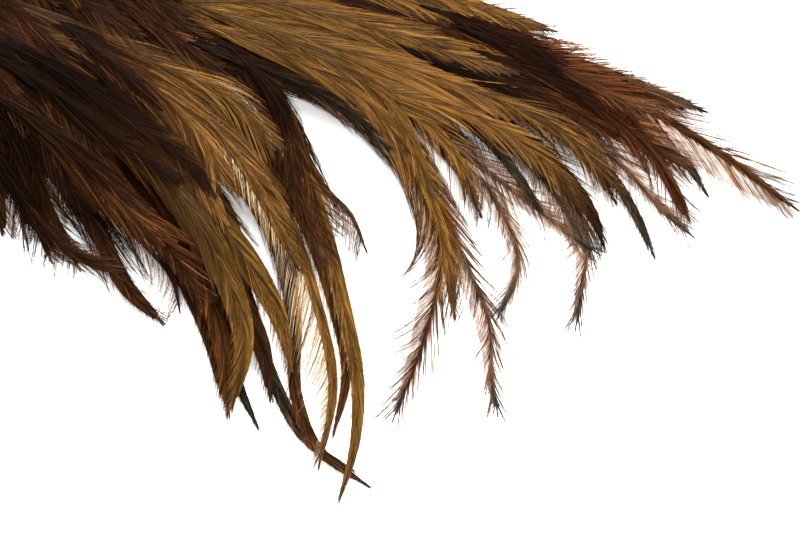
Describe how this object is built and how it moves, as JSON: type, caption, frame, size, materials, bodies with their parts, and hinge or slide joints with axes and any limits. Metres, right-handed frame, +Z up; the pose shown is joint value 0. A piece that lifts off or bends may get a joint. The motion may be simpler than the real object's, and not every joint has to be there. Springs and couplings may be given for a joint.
{
  "type": "rooster saddle hackle",
  "caption": "Dried rooster saddle skin, lying feather side up, with long slim brown, gold and black hackle feathers fanned out in two tongues.",
  "frame": {"origin": "the middle of the skin's flat underside, where the piece lies on a surface", "axes": "+Z up, away from the surface. +X is the image's right in the picture, and the saddle's tail points 23 degrees below it, towards -Y."},
  "size_m": [0.3063, 0.2255, 0.0223],
  "materials": {
    "dried_skin": "dry, matt hide",
    "furnace_feather": "soft sheen, near-black centre, red-brown and orange barbs",
    "gold_feather": "soft sheen, dark centre, golden olive barbs",
    "brown_feather": "soft sheen, dark chocolate barbs",
    "red_feather": "soft sheen, dark red-brown barbs",
    "grey_feather": "thin translucent grey web with tan barbs",
    "black_feather": "black-green sheen",
    "fluff_feather": "dark loose fluff"
  },
  "bodies": {
    "root": {"skin": "dried_skin", "lower_flank_feather_01": "fluff_feather", "lower_flank_feather_02": "brown_feather", "lower_flank_feather_03": "fluff_feather", "upper_flank_feather_01": "brown_feather", "upper_flank_feather_02": "red_feather", "upper_flank_feather_03": "brown_feather", "upper_flank_feather_04": "gold_feather", "upper_flank_feather_05": "red_feather", "right_hackle_01": "grey_feather", "right_hackle_02": "grey_feather", "right_hackle_03": "grey_feather", "right_hackle_04": "grey_feather", "right_hackle_05": "furnace_feather", "right_hackle_06": "grey_feather", "right_hackle_07": "black_feather", "right_hackle_08": "black_feather", "right_hackle_09": "furnace_feather", "right_hackle_10": "grey_feather", "right_hackle_11": "red_feather", "right_hackle_12": "grey_feather", "right_hackle_13": "black_feather", "right_hackle_14": "furnace_feather", "right_hackle_15": "black_feather", "right_hackle_16": "brown_feather", "right_hackle_17": "red_feather", "right_hackle_18": "red_feather", "right_hackle_19": "gold_feather", "right_hackle_20": "gold_feather", "right_hackle_21": "gold_feather", "right_hackle_22": "gold_feather", "right_hackle_23": "gold_feather", "right_hackle_24": "gold_feather", "left_hackle_01": "fluff_feather", "left_hackle_02": "fluff_feather", "left_hackle_03": "grey_feather", "left_hackle_04": "brown_feather", "left_hackle_05": "brown_feather", "left_hackle_06": "black_feather", "left_hackle_07": "furnace_feather", "left_hackle_08": "black_feather", "left_hackle_09": "furnace_feather", "left_hackle_10": "brown_feather", "left_hackle_11": "grey_feather", "left_hackle_12": "furnace_feather", "left_hackle_13": "gold_feather", "left_hackle_14": "gold_feather", "left_hackle_15": "gold_feather", "left_hackle_16": "gold_feather", "left_hackle_17": "brown_feather", "left_hackle_18": "furnace_feather", "left_hackle_19": "gold_feather", "left_hackle_20": "gold_feather", "left_hackle_21": "gold_feather", "covert_feather_01": "brown_feather", "covert_feather_02": "brown_feather", "covert_feather_03": "brown_feather", "covert_feather_04": "furnace_feather", "covert_feather_05": "furnace_feather", "covert_feather_06": "brown_feather"}
  },
  "joints": []
}
